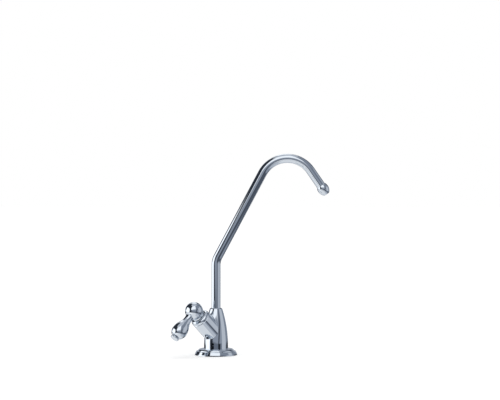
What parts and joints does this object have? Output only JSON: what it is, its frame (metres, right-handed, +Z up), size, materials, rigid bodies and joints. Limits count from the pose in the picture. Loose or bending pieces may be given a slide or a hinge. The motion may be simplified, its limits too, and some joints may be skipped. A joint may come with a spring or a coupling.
{
  "type": "drinking water filter tap",
  "caption": "Chromed drinking water filter tap: a swan-neck spout that swivels in a slim column on a round flange, with a side valve turned by a ball-and-pear lever.",
  "frame": {"origin": "on the deck's top face, on the axis of the column and its shank", "axes": "+Z up the column, +X towards the outlet at rest, so the picture looks along +Y"},
  "size_m": [0.1732, 0.0646, 0.274],
  "materials": {
    "chrome": "polished",
    "brass": "satin",
    "rubber": "matte",
    "ceramic": "satin",
    "steel": "satin",
    "plastic": "matte"
  },
  "bodies": {
    "base": {"tap_body": "chrome", "base_flange": "chrome", "flange_gasket": "rubber", "threaded_shank": "brass", "shank_seal": "rubber", "cartridge_housing": "brass", "housing_o_ring": "rubber", "seat_seal": "rubber", "fixed_disc": "ceramic", "valve_bonnet": "chrome"},
    "spout": {"spout_tube": "chrome", "spout_spigot": "brass", "spout_o_rings": "rubber", "spout_snap_ring": "steel", "outlet_nozzle": "chrome", "flow_straightener": "plastic"},
    "handle": {"valve_stem": "brass", "stem_o_rings": "rubber", "turning_disc": "ceramic", "slip_washer": "plastic", "stem_clip": "steel", "handle_hub": "chrome", "handle_lever": "chrome", "lever_button": "chrome", "handle_set_screw": "steel"},
    "clamp": {"clamp_rubber": "rubber", "clamp_washer": "steel", "lock_washer": "steel", "mounting_nut": "brass"}
  },
  "joints": [
    {"name": "spout_swivel", "type": "hinge", "parent": "base", "child": "spout", "pos_m": [0, 0, 0.0382], "axis": [0, 0, 1], "continuous": true},
    {"name": "handle_turn", "type": "hinge", "parent": "base", "child": "handle", "pos_m": [0, 0, 0.0208], "axis": [-0.5557, -0.4663, 0.6884], "range_deg": [0, 90]},
    {"name": "clamp_travel", "type": "slide", "parent": "base", "child": "clamp", "axis": [0, 0, 1], "range_m": [-0.0075, 0.016]}
  ]
}
